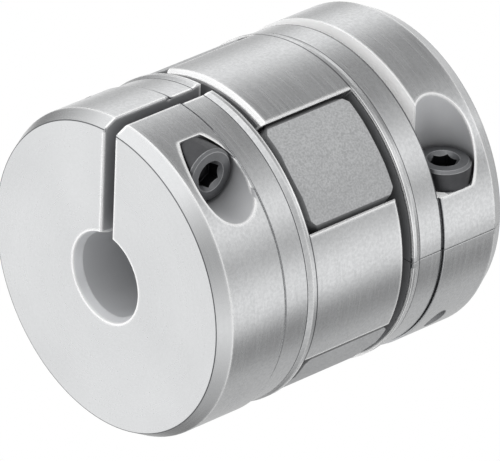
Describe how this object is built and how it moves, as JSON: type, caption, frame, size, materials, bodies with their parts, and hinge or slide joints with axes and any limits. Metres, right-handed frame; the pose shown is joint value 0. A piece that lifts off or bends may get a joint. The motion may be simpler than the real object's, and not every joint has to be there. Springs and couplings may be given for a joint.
{
  "type": "shaft coupling",
  "caption": "Backlash-free jaw coupling: slit clamping hubs with hollow-flanked jaws meshing round an elastomer spider, each closed on its shaft by a tangential screw.",
  "frame": {"origin": "on the coupling's axis, at the end face of the rear hub, on which the part stands", "axes": "+Z along the axis from the rear hub to the front hub, +Y out through the slot of the front hub, +X out through the slot of the rear hub"},
  "size_m": [0.042, 0.042, 0.047],
  "materials": {
    "hub_metal": "finely turned, clear anodised",
    "spider_elastomer": "matt moulded",
    "screw_steel": "blackened"
  },
  "bodies": {
    "root": {"front_hub": "hub_metal", "rear_hub": "hub_metal", "spider": "spider_elastomer", "front_clamp_screw": "screw_steel", "rear_clamp_screw": "screw_steel"}
  },
  "joints": []
}
